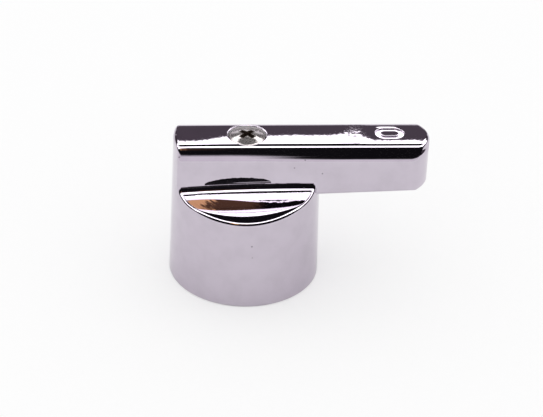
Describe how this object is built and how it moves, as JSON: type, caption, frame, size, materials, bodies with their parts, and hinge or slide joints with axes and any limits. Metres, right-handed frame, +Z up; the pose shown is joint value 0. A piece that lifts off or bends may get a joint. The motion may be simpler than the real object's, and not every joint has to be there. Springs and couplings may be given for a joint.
{
  "type": "tap handle",
  "caption": "Chromed tap handle: round hollow skirt with half-moon shoulders, a bar across its top running out as a side lever, and a sunk cross-head fixing screw.",
  "frame": {"origin": "on the spindle axis in the plane of the skirt's lower rim", "axes": "+Z up along the spindle axis, +X along the lever, the side in the picture faces -Y"},
  "size_m": [0.0679, 0.04, 0.0413],
  "materials": {
    "chrome_plate": "mirror-polished chrome plate on a zinc casting",
    "screw_steel": "bright plated steel, lightly worn in the cross"
  },
  "bodies": {
    "root": {"handle_body": "chrome_plate", "handle_screw": "screw_steel"}
  },
  "joints": []
}
